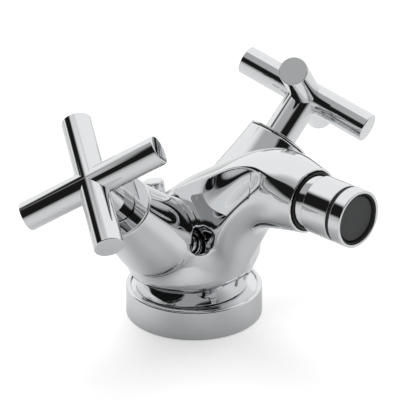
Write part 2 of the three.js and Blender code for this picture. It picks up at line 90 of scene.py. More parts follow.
def combine(tree, operation, *values):
    """A math node; each value is a number or another node's output."""
    node = tree.nodes.new("ShaderNodeMath")
    node.operation = operation
    for socket, value in zip(node.inputs, values):
        if isinstance(value, (int, float)):
            socket.default_value = value
        else:
            tree.links.new(value, socket)
    return node.outputs[0]


def room_ramp(value, low, high):
    """0 below low, 1 above high, and soft in between."""
    node = room.nodes.new("ShaderNodeMapRange")
    node.interpolation_type = "SMOOTHSTEP"
    room.links.new(value, node.inputs["Value"])
    node.inputs["From Min"].default_value = low
    node.inputs["From Max"].default_value = high
    return node.outputs["Result"]


def facing(direction):
    """How far a sideways direction agrees with the one looked in, from -1 to 1."""
    node = room.nodes.new("ShaderNodeVectorMath")
    node.operation = "DOT_PRODUCT"
    room.links.new(looking.outputs["Generated"], node.inputs[0])
    node.inputs[1].default_value = direction
    return combine(room, "DIVIDE", node.outputs["Value"], level_share)


looking = room.nodes.new("ShaderNodeTexCoord")
split = room.nodes.new("ShaderNodeSeparateXYZ")
room.links.new(looking.outputs["Generated"], split.inputs[0])
upward = split.outputs["Z"]
level_squared = combine(room, "SUBTRACT", 1, combine(room, "MULTIPLY", upward, upward))
level_share = combine(room, "SQRT", combine(room, "MAXIMUM", level_squared, 0.001))
in_front = facing(toward_camera)
dark_middle = (toward_camera * math.cos(dark_middle_turn)
               + beside_camera * math.sin(dark_middle_turn))
dark_side = facing(dark_middle)
above = combine(room, "SUBTRACT", 1, room_ramp(in_front, -front_blend, front_blend))
open_light = combine(room, "MULTIPLY_ADD", above, back_light - front_light, front_light)
low_edge = room_ramp(upward, math.sin(dark_low) - low_blend, math.sin(dark_low) + low_blend)
high_edge = room_ramp(upward, math.sin(dark_high) - high_blend, math.sin(dark_high) + high_blend)
band = combine(room, "MULTIPLY", low_edge, combine(room, "SUBTRACT", 1, high_edge))
dark_end = math.cos(dark_half_turn)
side = room_ramp(dark_side, dark_end - side_blend, dark_end + side_blend)
shade = combine(room, "MULTIPLY", band, side)
lit = combine(room, "MULTIPLY", open_light, combine(room, "SUBTRACT", 1, shade))
lit = combine(room, "ADD", lit, dark_room)
path = room.nodes.new("ShaderNodeLightPath")
lit = combine(room, "MAXIMUM", lit, path.outputs["Is Camera Ray"])
room.nodes["Background"].inputs["Color"].default_value = (1, 1, 1, 1)
room.links.new(lit, room.nodes["Background"].inputs["Strength"])

# the table: pale, a little brighter in the chrome, and washed out to white where the camera sees it
table_half = 4
glow_in_chrome = 0.11
wash_to_white = 0.5
bm = bmesh.new()
bmesh.ops.create_grid(bm, x_segments=1, y_segments=1, size=table_half)
table_mesh = bpy.data.meshes.new("table")
bm.to_mesh(table_mesh)
bm.free()
table = bpy.data.objects.new("table", table_mesh)
scene.collection.objects.link(table)
table_top = bpy.data.materials.new("table_top")
table_top.use_nodes = True
table_nodes, table_links = table_top.node_tree.nodes, table_top.node_tree.links
table_shader = table_nodes["Principled BSDF"]
table_shader.inputs["Base Color"].default_value = (0.8, 0.8, 0.8, 1)
table_shader.inputs["Roughness"].default_value = 0.9
table_shader.inputs["Specular IOR Level"].default_value = 0.1
table_shader.inputs["Emission Color"].default_value = (1, 1, 1, 1)
table_path = table_nodes.new("ShaderNodeLightPath")
glow = combine(table_top.node_tree, "MULTIPLY", table_path.outputs["Is Glossy Ray"], glow_in_chrome)
wash = combine(table_top.node_tree, "MULTIPLY_ADD", table_path.outputs["Is Camera Ray"], wash_to_white, glow)
table_links.new(wash, table_shader.inputs["Emission Strength"])
table_mesh.materials.append(table_top)

lamp = bpy.data.objects.new("overhead_softbox", bpy.data.lights.new("overhead_softbox", "AREA"))
scene.collection.objects.link(lamp)
lamp.data.shape = "RECTANGLE"
lamp.data.size = 0.7
lamp.data.size_y = 0.5
lamp.data.energy = 3
lamp.location = Vector((0.15, 0.25, 0.9))
lamp.rotation_mode = "QUATERNION"
lamp_aim = Vector((0, 0, 0.04))
lamp.rotation_quaternion = (lamp.location - lamp_aim).to_track_quat("Z", "Y")
lamp.visible_glossy = False

# ---------- Mixer body ----------
# One brass casting, ground and plated: a round foot that flares up into the hub, two arms for the
# valves and the spout. The founder runs them into each other with hollows that can't be built from
# flat faces, so the casting is worked out as one blended solid, in millimetres, then meshed.

MM = 0.001
joints = {j["name"]: j for j in frame["joints"]}
hot_axis = np.array(joints["hot_turn"]["axis"])
cold_axis = -np.array(joints["cold_turn"]["axis"])
valve_meeting = np.array(joints["hot_turn"]["pos_m"]) / MM
ball_centre = np.array(joints["outlet_pan"]["pos_m"]) / MM
rod_axis = np.array(joints["lift_pull"]["axis"])
rod_foot = np.array([0, 13.6, 0])


def softened(steps, values, blur, count=240):
    """Values given at steps, as an even run with its corners rounded off over about blur."""
    even = np.linspace(steps[0], steps[-1], count)
    run = np.interp(even, steps, values)
    spacing = even[1] - even[0]
    reach = int(3 * blur / spacing)
    run = np.concatenate([2 * run[0] - run[reach:0:-1], run, 2 * run[-1] - run[-2:-reach - 2:-1]])
    bell = np.exp(-0.5 * (np.arange(-reach, reach + 1) * spacing / blur) ** 2)
    return even, np.convolve(run, bell / bell.sum(), "valid")


def merge(a, b, hollow):
    """Union of two solids, with a hollow of about that radius where they meet."""
    near = np.maximum(hollow - np.abs(a - b), 0) / hollow
    return np.minimum(a, b) - near * near * hollow / 4


def trim(a, b, edge):
    """What two solids share, with their common edge rounded to about that radius."""
    return -merge(-a, -b, edge)


def turned_side(radius_at, height, around, slopes):
    """How far outside a turned surface a point is, given its height and its distance from the axis."""
    steps, radii = radius_at
    slope = np.interp(height, steps, slopes)
    return (around - np.interp(height, steps, radii)) / np.sqrt(1 + slope * slope)


shank_radius, shank_top = 20, 12.6
shank_joint = 14
foot_centre_y = 1.7
rim_radius, rim_height = 27.8, 39.5
dish_depth, dish_flatness = 3, 6
rim_edge, foot_edge = 1.6, 0.8
flare = softened([12.6, 15.1, 18, 21, 24, 27.5, 34.5, 38.3, 41],
                 [23.4, 23.5, 24.1, 25.2, 26.3, 27.1, 27.7, 27.8, 27.8], 1.2)
flare_slopes = np.gradient(flare[1], flare[0])


def hub_solid(x, y, z):
    """The round hub with its dished top, on the shank that goes down through the ring."""
    around = np.hypot(x, y - foot_centre_y)
    side = turned_side(flare, z, around, flare_slopes)
    dish = z - rim_height + dish_depth * (1 - np.clip(around / rim_radius, 0, 1) ** dish_flatness)
    hub = trim(trim(side, dish, rim_edge), shank_top - z, foot_edge)
    shank_side = np.hypot(x, y) - shank_radius
    shank = trim(shank_side, np.abs(z - shank_joint / 2) - shank_joint / 2, foot_edge)
    return np.minimum(hub, shank)


arm_start, arm_end = 12, 65.3
arm_root_edge, arm_end_edge = 6, 0.8
cone = softened([8, 14, 34, 45, 55, 62, arm_end, 70], [7, 11, 17.5, 16.3, 14.65, 13.8, 13.55, 13.2], 2.5)
cone_slopes = np.gradient(cone[1], cone[0])


def along_and_around(x, y, z, origin, axis):
    """How far along an axis a point is, and how far from it."""
    x, y, z = x - origin[0], y - origin[1], z - origin[2]
    along = x * axis[0] + y * axis[1] + z * axis[2]
    return along, np.sqrt(np.maximum(x * x + y * y + z * z - along * along, 0))


def arm_solid(x, y, z, axis):
    """One valve's arm: a cone that widens, then narrows to its cap."""
    along, around = along_and_around(x, y, z, valve_meeting, axis)
    side = turned_side(cone, along, around, cone_slopes)
    return trim(trim(side, along - arm_end, arm_end_edge), arm_start - along, arm_root_edge)


# The spout's cross-sections, from behind the hub to the mouth: where each one's top and bottom lie
# in side view (y, z), half its width at the side creases and at the underside, how far its top
# drops to the creases, how far a soft ridge stands out of its side and at what share of its height,
# and how round it is.
stations = range(9)
spout_lines = {
    "top_y": [17, 8, -3.5, -18, -32, -43, -54, -61, -66.8],
    "top_z": [49, 57, 66, 75, 84, 88.2, 88.6, 87.7, 86.65],
    "low_y": [-8, -15, -25, -31, -36, -44, -54, -61, -66.8],
    "low_z": [15, 17, 24, 36.3, 48.5, 55, 57.4, 58.6, 59.35],
    "crease": [9, 11.5, 13, 13.7, 14, 14, 13.65, 12, 9.5],
    "drop": [3, 3, 3, 3, 3.4, 3.8, 4, 3.8, 3.8],
    "ridge": [0, 0, 0.8, 3.3, 3.8, 2.8, 1, 0, 0],
    "ridge_share": [0.4, 0.4, 0.38, 0.33, 0.3, 0.41, 0.6, 0.75, 0.8],
    "under": [8, 8.5, 10, 12, 12.5, 12.5, 12.5, 12.5, 12],
    "roundness": [0, 0, 0, 0, 0, 0.1, 0.4, 0.8, 1],
}
spout = {name: softened(stations, values, 0.45)[1] for name, values in spout_lines.items()}
ridge_width = 0.2
valley_above, valley_depth = 0.42, 0.5
crease_edge, under_edge = 1.2, 11
mouth_past_ball, mouth_edge, root_edge = 3, 0.7, 3
section_height = np.hypot(spout["top_y"] - spout["low_y"], spout["top_z"] - spout["low_z"])
section_up = ((spout["top_y"] - spout["low_y"]) / section_height,
              (spout["top_z"] - spout["low_z"]) / section_height)


def spout_solid(x, y, z):
    """The spout: at each point, the cross-section that it lies on, blended between the stations."""
    shape = np.broadcast(x, y, z).shape
    plane_shape = np.broadcast(y, z).shape
    flat_y, flat_z = np.broadcast_to(y, plane_shape).ravel(), np.broadcast_to(z, plane_shape).ravel()
    ahead = ((flat_y[:, None] - spout["low_y"]) * section_up[1]
             - (flat_z[:, None] - spout["low_z"]) * section_up[0])
    count = len(section_height)
    behind = np.clip((ahead < 0).sum(1) - 1, 0, count - 2)
    rows = np.arange(len(flat_y))
    here, there = ahead[rows, behind], ahead[rows, behind + 1]
    at = np.clip(behind + here / np.minimum(here - there, -1e-9), 0, count - 1).reshape(plane_shape)
    local = {name: np.interp(at, np.arange(count), values) for name, values in spout.items()}
    half = np.interp(at, np.arange(count), section_height) / 2
    up_y, up_z = (np.interp(at, np.arange(count), values) for values in section_up)
    height = (y - local["low_y"]) * up_y + (z - local["low_z"]) * up_z - half
    across = np.abs(x)
    bow = 2 * local["drop"] * across / local["crease"] ** 2
    top = (height - half + local["drop"] * (across / local["crease"]) ** 2) / np.sqrt(1 + bow * bow)
    lean = (local["crease"] - local["under"]) / (2 * half)
    rise = (height + half) / (2 * half)
    ridge = np.exp(-((rise - local["ridge_share"]) / ridge_width) ** 2)
    valley = np.exp(-((rise - local["ridge_share"] - valley_above) / ridge_width) ** 2)
    swell = local["ridge"] * (ridge - valley_depth * valley)
    side = (across - local["under"] - lean * (height + half) - swell) / np.sqrt(1 + lean * lean)
    section = trim(trim(side, top, crease_edge), -half - height, under_edge)
    round_section = np.sqrt(across ** 2 + height ** 2) - half
    blended = section + (round_section - section) * local["roundness"]
    mouth = ball_centre[1] - mouth_past_ball - y
    back = -((y - spout["low_y"][0]) * section_up[1][0] - (z - spout["low_z"][0]) * section_up[0][0])
    return trim(trim(blended, mouth, mouth_edge), -back, root_edge).reshape(shape)


def drilled(around, radius, along, start, end):
    """A round hole between two distances along its axis."""
    return np.maximum(around - radius, np.abs(along - (start + end) / 2) - (end - start) / 2)


# Between each arm and the spout the hub is scooped out behind its rim.
scoop_centre = (15.2, -10.6, 40.2)
scoop_radius, scoop_edge = 7.4, 3
# Below the rim the arms run into the hub with a wide hollow, and above it with a tight one.
arm_hollow, foot_hollow, spout_hollow = 4, 12, 4
hollow_starts, hollow_depth = 6, 8
# Inside are the hose inlets, the fixing stud's hole, the headworks' bores, the ball's seat with the
# way to it, and the waste rod's hole with the wider place of its bush.
inlet_side, inlet_radius, inlet_top = 10, 5, 27
stud_y, stud_radius, stud_top = -12.5, 4, 18
bore_radius, bore_bottom = 10.4, 43
seat_radius, seat_depth, way_radius, way_depth = 12.45, 6, 9, 13.6
rod_hole_radius, bush_hole_radius, bush_hole_bottom = 2.6, 4.2, 33
hole_edge = 0.5
# where the holes end outside the casting
under_foot, past_arm, past_rim, past_mouth = -5, 70, 60, 6


def body_solid(x, y, z):
    """How far outside the casting a point is, in millimetres; less than nothing inside it."""
    body = hub_solid(x, y, z)
    under_rim = np.clip((rim_height - hollow_starts - z) / hollow_depth, 0, 1)
    for axis in (hot_axis, cold_axis):
        body = merge(body, arm_solid(x, y, z, axis), arm_hollow + foot_hollow * under_rim)
    body = merge(body, spout_solid(x, y, z), spout_hollow)
    scoop_x, scoop_y, scoop_z = scoop_centre
    from_scoop = np.sqrt((np.abs(x) - scoop_x) ** 2 + (y - scoop_y) ** 2 + (z - scoop_z) ** 2)
    body = trim(body, scoop_radius - from_scoop, scoop_edge)
    holes = [drilled(np.hypot(x - inlet_side, y), inlet_radius, z, under_foot, inlet_top),
             drilled(np.hypot(x + inlet_side, y), inlet_radius, z, under_foot, inlet_top),
             drilled(np.hypot(x, y - stud_y), stud_radius, z, under_foot, stud_top)]
    for axis in (hot_axis, cold_axis):
        along, around = along_and_around(x, y, z, valve_meeting, axis)
        holes.append(drilled(around, bore_radius, along, bore_bottom, past_arm))
    along, around = along_and_around(x, y, z, ball_centre, np.array([0, -1, 0]))
    holes.append(drilled(around, seat_radius, along, -seat_depth, past_mouth))
    holes.append(drilled(around, way_radius, along, -way_depth, past_mouth))
    along, around = along_and_around(x, y, z, rod_foot, rod_axis)
    holes.append(drilled(around, rod_hole_radius, along, under_foot, past_rim))
    holes.append(drilled(around, bush_hole_radius, along, bush_hole_bottom, past_rim))
    for hole in holes:
        body = trim(body, -hole, hole_edge)
    return body


def body_slopes(points):
    """The casting's value and its slope at each point."""
    step = 0.02
    value = body_solid(*points.T)
    slopes = np.stack([(body_solid(*(points + side * step).T) - value) / step for side in np.eye(3)], 1)
    return value, slopes


def blended_mesh(name, low, high, cell, rounds=4):
    """The casting's skin: sampled on a grid of that cell, then its corners are spread evenly and moved
    onto the surface, which also gives their normals."""
    axes = [np.arange(a, b, cell) for a, b in zip(low, high)]
    y, z = axes[1][None, :, None], axes[2][None, None, :]
    slabs = [body_solid(xs[:, None, None], y, z) for xs in np.array_split(axes[0], 8)]
    values = np.clip(np.concatenate(slabs), -2 * cell, 2 * cell).astype(np.float32)
    grid = openvdb.FloatGrid(2 * cell)
    grid.copyFromArray(values)
    corners, quads = grid.convertToQuads(0.0)
    points = corners.astype(float) * cell + np.array(low)
    edges = np.unique(np.sort(np.concatenate([quads[:, [i, (i + 1) % 4]] for i in range(4)]), 1), axis=0)
    ends = np.concatenate([edges, edges[:, ::-1]])
    neighbours = np.maximum(np.bincount(ends[:, 0], minlength=len(points)), 1)[:, None]
    for i in range(rounds):
        value, slope = body_slopes(points)
        steepness = np.maximum((slope * slope).sum(1, keepdims=True), 0.05)
        points = points - np.clip(value[:, None] / steepness, -cell, cell) * slope
        if i < rounds - 2:
            total = np.stack([np.bincount(ends[:, 0], points[ends[:, 1], k], len(points))
                              for k in range(3)], 1)
            drift = (total / neighbours - points) * 0.5
            unit = slope / np.sqrt(steepness)
            points = points + drift - unit * (drift * unit).sum(1, keepdims=True)
    value, slope = body_slopes(points)
    normals = slope / np.linalg.norm(slope, axis=1, keepdims=True)
    corner = points[quads]
    outward = np.cross(corner[:, 1] - corner[:, 0], corner[:, 2] - corner[:, 0])
    if (outward * normals[quads[:, 0]]).sum() < 0:
        quads = quads[:, ::-1]
    mesh = bpy.data.meshes.new(name)
    mesh.from_pydata((points * MM).tolist(), [], quads.tolist())
    mesh.polygons.foreach_set("use_smooth", [True] * len(mesh.polygons))
    mesh.normals_split_custom_set_from_vertices(normals.tolist())
    return mesh


casting_cell = 0.68
casting = blended_mesh("body_casting", (-62, -69, -2), (62, 32, 92), casting_cell)
body = bpy.data.objects.new("body_casting", casting)
scene.collection.objects.link(body)
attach(body, "mixer")
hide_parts("mixer_body")


def new_group(name, inputs, outputs):
    """An empty shader group with named sockets, and its input and output nodes."""
    group = bpy.data.node_groups.new(name, "ShaderNodeTree")
    for label, kind, default in inputs:
        socket = group.interface.new_socket(label, in_out="INPUT", socket_type=kind)
        socket.default_value = default
    for label, kind in outputs:
        group.interface.new_socket(label, in_out="OUTPUT", socket_type=kind)
    return group, group.nodes.new("NodeGroupInput"), group.nodes.new("NodeGroupOutput")


def spread(group, place, scale, detail=2.0, roughness=0.5):
    """A noise texture, on the piece's own coordinates in metres."""
    node = group.nodes.new("ShaderNodeTexNoise")
    node.noise_dimensions = "3D"
    node.inputs["Scale"].default_value = scale
    node.inputs["Detail"].default_value = detail
    node.inputs["Roughness"].default_value = roughness
    group.links.new(place, node.inputs["Vector"])
    return node.outputs["Fac"]


def between(group, value, low, high, to_low, to_high):
    """Maps a value's range onto another, with the ends held."""
    node = group.nodes.new("ShaderNodeMapRange")
    group.links.new(value, node.inputs["Value"])
    for label, number in (("From Min", low), ("From Max", high), ("To Min", to_low), ("To Max", to_high)):
        if isinstance(number, (int, float)):
            node.inputs[label].default_value = number
        else:
            group.links.new(number, node.inputs[label])
    return node.outputs["Result"]


# Buffed metal: slow waves left by the polishing wheel, fine hairlines and a faint dulling where
# hands and water touch it. Roughness goes to the shader, Height is in millimetres.
buffing, given, result = new_group(
    "buffed_metal",
    [("Polish", "NodeSocketFloat", 0.03), ("Dulling", "NodeSocketFloat", 0.04),
     ("Wave", "NodeSocketFloat", 0.002), ("Hairline", "NodeSocketFloat", 0.0002)],
    [("Roughness", "NodeSocketFloat"), ("Height", "NodeSocketFloat")])
here = buffing.nodes.new("ShaderNodeTexCoord").outputs["Object"]
waves = spread(buffing, here, 110, 1.0)
smears = spread(buffing, here, 55, 4.0, 0.6)
pores = spread(buffing, here, 2600, 2.0)
stretched = buffing.nodes.new("ShaderNodeMapping")
stretched.inputs["Scale"].default_value = (2200, 2200, 160)
buffing.links.new(here, stretched.inputs["Vector"])
lines = spread(buffing, stretched.outputs[0], 1.0, 2.0)
dulled = between(buffing, smears, 0.48, 0.75, 0, given.outputs["Dulling"])
speckle = between(buffing, pores, 0.6, 0.8, 0, 0.02)
roughness = combine(buffing, "ADD", given.outputs["Polish"], dulled)
buffing.links.new(combine(buffing, "ADD", roughness, speckle), result.inputs["Roughness"])
height = combine(buffing, "MULTIPLY", waves, given.outputs["Wave"])
height = combine(buffing, "MULTIPLY_ADD", lines, given.outputs["Hairline"], height)
buffing.links.new(height, result.inputs["Height"])


def bare_material(name, colour, metal):
    """A material with its shader, ready for what changes over the surface."""
    material = bpy.data.materials.new(name)
    material.use_nodes = True
    shader = material.node_tree.nodes["Principled BSDF"]
    shader.inputs["Base Color"].default_value = (*colour, 1)
    shader.inputs["Metallic"].default_value = metal
    return material, material.node_tree, shader


def add_relief(tree, shader, height, distance):
    """Bump from a height; distance is what a height of 1 stands for, in metres."""
    bump = tree.nodes.new("ShaderNodeBump")
    bump.inputs["Distance"].default_value = distance
    bump.inputs["Strength"].default_value = 1
    tree.links.new(height, bump.inputs["Height"])
    tree.links.new(bump.outputs[0], shader.inputs["Normal"])


def metal_finish(name, colour, polish, dulling, wave, hairline):
    """A metal with the buffed surface; wave and hairline are depths in millimetres."""
    material, tree, shader = bare_material(name, colour, 1)
    group = tree.nodes.new("ShaderNodeGroup")
    group.node_tree = buffing
    group.inputs["Polish"].default_value = polish
    group.inputs["Dulling"].default_value = dulling
    group.inputs["Wave"].default_value = wave
    group.inputs["Hairline"].default_value = hairline
    tree.links.new(group.outputs["Roughness"], shader.inputs["Roughness"])
    add_relief(tree, shader, group.outputs["Height"], MM)
    return material


chrome = metal_finish("chrome_plate", (0.74, 0.75, 0.76), 0.02, 0.03, 0.012, 0.0002)
body.data.materials.append(chrome)


def piece_from(bm, name, where, rides_on, material, stands_for, smooth_angle=34):
    """Turns a mesh made in millimetres in its own place into a piece of the mixer."""
    bmesh.ops.transform(bm, matrix=where @ Matrix.Scale(MM, 4), verts=bm.verts)
    bmesh.ops.remove_doubles(bm, verts=bm.verts, dist=1e-7)
    bmesh.ops.recalc_face_normals(bm, faces=bm.faces)
    mesh = bpy.data.meshes.new(name)
    bm.to_mesh(mesh)
    bm.free()
    mesh.shade_smooth()
    mesh.set_sharp_from_angle(angle=math.radians(smooth_angle))
    mesh.materials.append(material)
    piece = bpy.data.objects.new(name, mesh)
    scene.collection.objects.link(piece)
    even = piece.modifiers.new("even_shading", "WEIGHTED_NORMAL")
    even.keep_sharp = True
    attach(piece, rides_on)
    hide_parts(*stands_for)


def turned(outline, sides=96, edge=0.0, steps=3, closed=True):
    """A mesh turned on a lathe: its outline is (radius, height) points, and hard edges are broken."""
    bm = bmesh.new()
    points = [bm.verts.new((radius, 0, height)) for radius, height in outline]
    ends = points[1:] + points[:1] if closed else points[1:]
    wire = [bm.edges.new(pair) for pair in zip(points, ends)]
    bmesh.ops.spin(bm, geom=points + wire, cent=(0, 0, 0), axis=(0, 0, 1), angle=2 * math.pi,
                   steps=sides, use_merge=True)
    bmesh.ops.remove_doubles(bm, verts=bm.verts, dist=1e-5)
    bmesh.ops.dissolve_degenerate(bm, edges=bm.edges, dist=1e-6)
    bmesh.ops.recalc_face_normals(bm, faces=bm.faces)
    if edge:
        hard = [e for e in bm.edges
                if len(e.link_faces) == 2 and e.calc_face_angle(0) > math.radians(25)]
        bmesh.ops.bevel(bm, geom=hard, offset=edge, offset_type="OFFSET", segments=steps, profile=0.5,
                        affect="EDGES", clamp_overlap=True, material=-1)
    return bm


def sleeve(inner, outer, bottom, top, sides, edge, steps=3):
    """A plain round sleeve with its edges broken."""
    outline = [(inner, bottom), (outer, bottom), (outer, top), (inner, top)]
    return turned(outline, sides, edge, steps)


def arc(radius, start, end, steps, centre=(0, 0)):
    """Points on a round stretch of an outline, from one angle to another in degrees."""
    turns = [math.radians(start + (end - start) * i / steps) for i in range(steps + 1)]
    return [(centre[0] + radius * math.cos(t), centre[1] + radius * math.sin(t)) for t in turns]


# ---------- Base ring and gasket ----------
# The ring is a turned brass trim, chromed, that hides the tap hole and the shank. It clamps a
# black rubber gasket to the deck, held by the body above it.

upright = Matrix.Identity(4)
ring_radius, ring_height = 28.8, 13.3
gasket_radius, gasket_height = 26.5, 1.5
ring_hole = shank_radius + 0.3
ring_outline = ([(ring_hole, 1.8), (26.8, 1.8), (26.8, 0.2), (ring_radius - 0.4, 0.2), (ring_radius, 0.6)]
                + arc(1.0, 0, 90, 8, (ring_radius - 1.0, ring_height - 1.0))
                + arc(0.5, 90, 180, 4, (ring_radius - 1.6, ring_height - 0.5))
                + [(ring_radius - 2.4, ring_height - 1.0), (ring_hole, ring_height - 1.0)])
ring = turned(ring_outline, 160)
piece_from(ring, "base_trim_ring", upright, "mixer", chrome, ["base_ring"])


def rubber_finish(name, colour, grain):
    """Moulded rubber: nearly black, with a fine grain and a pale bloom in places."""
    material, tree, shader = bare_material(name, colour, 0)
    here = tree.nodes.new("ShaderNodeTexCoord").outputs["Object"]
    bloom = between(tree, spread(tree, here, 140, 4.0), 0.4, 0.75, 0, 1)
    mix = tree.nodes.new("ShaderNodeMix")
    mix.data_type = "RGBA"
    mix.inputs["A"].default_value = (*colour, 1)
    mix.inputs["B"].default_value = (*[min(1, c * 2.2 + 0.01) for c in colour], 1)
    tree.links.new(bloom, mix.inputs["Factor"])
    tree.links.new(mix.outputs["Result"], shader.inputs["Base Color"])
    tree.links.new(between(tree, bloom, 0, 1, 0.5, 0.72), shader.inputs["Roughness"])
    add_relief(tree, shader, spread(tree, here, 3000, 2.0), grain * MM)
    return material


rubber = rubber_finish("black_rubber", (0.012, 0.012, 0.013), 0.03)
gasket = sleeve(ring_hole, gasket_radius, 0, gasket_height, 96, 0.2, 2)
piece_from(gasket, "deck_gasket", upright, "mixer", rubber, ["base_gasket"])

# ---------- Valves ----------
# Two quarter-turn ceramic valves. Inside each arm a machined brass headwork screws down on a rubber
# seal and a pair of ceramic discs; a thin chromed cap covers it, and the cross handle is pinned to
# the brass spindle by a small steel screw.

brass = metal_finish("turned_brass", (0.62, 0.43, 0.16), 0.16, 0.12, 0.004, 0.004)
spring_steel = metal_finish("spring_steel", (0.32, 0.33, 0.35), 0.24, 0.15, 0.002, 0.003)
ceramic, ceramic_tree, ceramic_shader = bare_material("lapped_ceramic", (0.86, 0.83, 0.77), 0)
ceramic_at = ceramic_tree.nodes.new("ShaderNodeTexCoord").outputs["Object"]
ceramic_cloud = spread(ceramic_tree, ceramic_at, 700, 3.0)
ceramic_sheen = between(ceramic_tree, ceramic_cloud, 0.3, 0.7, 0.16, 0.3)
ceramic_tree.links.new(ceramic_sheen, ceramic_shader.inputs["Roughness"])
add_relief(ceramic_tree, ceramic_shader, ceramic_cloud, 0.004 * MM)
inside = {"headwork": brass, "headwork_washer": rubber, "seat_seal": rubber, "fixed_disc": ceramic,
          "moving_disc": ceramic, "spindle": brass, "spindle_ring": rubber, "spindle_clip": spring_steel}


def dress(node_name, material):
    """Gives a CAD node its finish."""
    for place in frame["nodes"][node_name].material_slots:
        place.material = material


def axis_frame(origin, axis, sideways):
    """The place of a piece made along its own Z: at origin in millimetres, turned to axis."""
    z = Vector(axis).normalized()
    x = (Vector(sideways) - z * Vector(sideways).dot(z)).normalized()
    turn = Matrix((x, z.cross(x), z)).transposed().to_4x4()
    return Matrix.Translation(Vector(origin) * MM) @ turn


cap_radius, cap_top, cap_depth, cap_hole = 13.55, 66.5, 0.9, 5.9
bar_radius, bar_half, bar_edge, cross_at = 6.2, 31.25, 0.5, 88.9
neck_radius, neck_edge, neck_start = 7.3, 0.3, 67.0
skirt_radius, skirt_top, socket_radius, socket_top = 6.2, 77.8, 3.9, 84.3
tap_radius, tap_length, screw_height = 1.8, 12, 81
screw_radius, screw_inner_end, screw_outer_end, screw_edge = 1.45, 4.2, 6.95, (0.2, 0.25)
key_radius, key_floor = 0.75, 5.6
bar_roll = {"hot": -41.5, "cold": 21.3}
screw_turn = {"hot": 45, "cold": -45}


def lying(height, turn):
    """Lays a turned mesh across the valve's axis at that height, pointing that way round it."""
    level = Matrix.Rotation(math.radians(turn), 4, "Z") @ Matrix.Rotation(math.pi / 2, 4, "Y")
    return Matrix.Translation((0, 0, height)) @ level


def bar_mesh(turn):
    """One bar of the cross, solid, with its ends broken, lying across the valve's axis."""
    one_end = arc(bar_edge, -90, 0, 4, (bar_radius - bar_edge, -bar_half + bar_edge))
    other_end = arc(bar_edge, 0, 90, 4, (bar_radius - bar_edge, bar_half - bar_edge))
    bm = turned([(0, -bar_half)] + one_end + other_end + [(0, bar_half)], 96, closed=False)
    bmesh.ops.transform(bm, matrix=lying(cross_at, turn), verts=bm.verts)
    return bm


def solid_object(bm, name):
    """A short-lived object made of a closed mesh, for the booleans."""
    mesh = bpy.data.meshes.new(name)
    bmesh.ops.recalc_face_normals(bm, faces=bm.faces)
    bm.to_mesh(mesh)
    bm.free()
    solid = bpy.data.objects.new(name, mesh)
    scene.collection.objects.link(solid)
    return solid


def worked(base, *tools):
    """Joins or cuts solids with the exact boolean, and returns the result as a mesh to go on with."""
    for tool, operation in tools:
        step = base.modifiers.new(tool.name, "BOOLEAN")
        step.operation = operation
        step.object = tool
        step.solver = "EXACT"
    bpy.context.view_layer.update()
    bm = bmesh.new()
    bm.from_mesh(base.evaluated_get(bpy.context.evaluated_depsgraph_get()).to_mesh())
    for solid in (base, *(tool for tool, _ in tools)):
        bpy.data.objects.remove(solid)
    return bm


def cross_handle(side):
    """Two bars and a neck in one, hollow over the spindle, with a tapped hole for the screw."""
    neck = turned([(0, neck_start), (neck_radius - neck_edge, neck_start),
                   (neck_radius, neck_start + neck_edge), (neck_radius, cross_at), (0, cross_at)],
                  96, closed=False)
    roll = bar_roll[side]
    skirt = turned([(0, neck_start - 2), (skirt_radius, neck_start - 2), (skirt_radius, skirt_top),
                    (socket_radius, skirt_top), (socket_radius, socket_top), (0, socket_top)],
                   48, closed=False)
    tap = turned([(0, 0), (tap_radius, 0), (tap_radius, tap_length), (0, tap_length)], 32, closed=False)
    bmesh.ops.transform(tap, matrix=lying(screw_height, roll + screw_turn[side]), verts=tap.verts)
    return worked(solid_object(bar_mesh(roll), "bar"),
                  (solid_object(bar_mesh(roll + 90), "cross_bar"), "UNION"),
                  (solid_object(neck, "neck"), "UNION"),
                  (solid_object(skirt, "skirt"), "DIFFERENCE"),
                  (solid_object(tap, "tap"), "DIFFERENCE"))


for side, axis, turning in (("hot", hot_axis, "hot_control"), ("cold", cold_axis, "cold_control")):
    for part, material in inside.items():
        dress(f"{side}_{part}", material)
    valve_place = axis_frame(valve_meeting, axis, (0, 1, 0))
    cap = sleeve(cap_hole, cap_radius, cap_top - cap_depth, cap_top, 128, 0.22)
    piece_from(cap, f"{side}_arm_cap", valve_place, "mixer", chrome, [f"{side}_bonnet_cap"])
    piece_from(cross_handle(side), f"{side}_cross_handle", valve_place, turning,
               chrome, [f"{side}_handle"], 20)
    screw = turned([(0, screw_inner_end), (screw_radius, screw_inner_end),
                    (screw_radius, screw_outer_end - screw_edge[1]),
                    (screw_radius - screw_edge[0], screw_outer_end), (key_radius, screw_outer_end),
                    (key_radius, key_floor), (0, key_floor)], 32, closed=False)
    screw_way = lying(screw_height, bar_roll[side] + screw_turn[side])
    bmesh.ops.transform(screw, matrix=screw_way, verts=screw.verts)
    piece_from(screw, f"{side}_grub_screw", valve_place, turning,
               spring_steel, [f"{side}_handle_screw"])

# ---------- Swivelling outlet ----------
# A chromed ball nipple turns in a seat inside the spout's mouth, held by a black moulded retainer.
# The aerator's housing is pushed on its neck and its collar screws on over a black seal ring; the
# dark grey moulded insert that breaks up the jet sits a little inside the collar.

outlet_place = axis_frame(ball_centre, (0, -1, 0), (1, 0, 0))
ball_radius, ball_neck = 11.6, 9.8


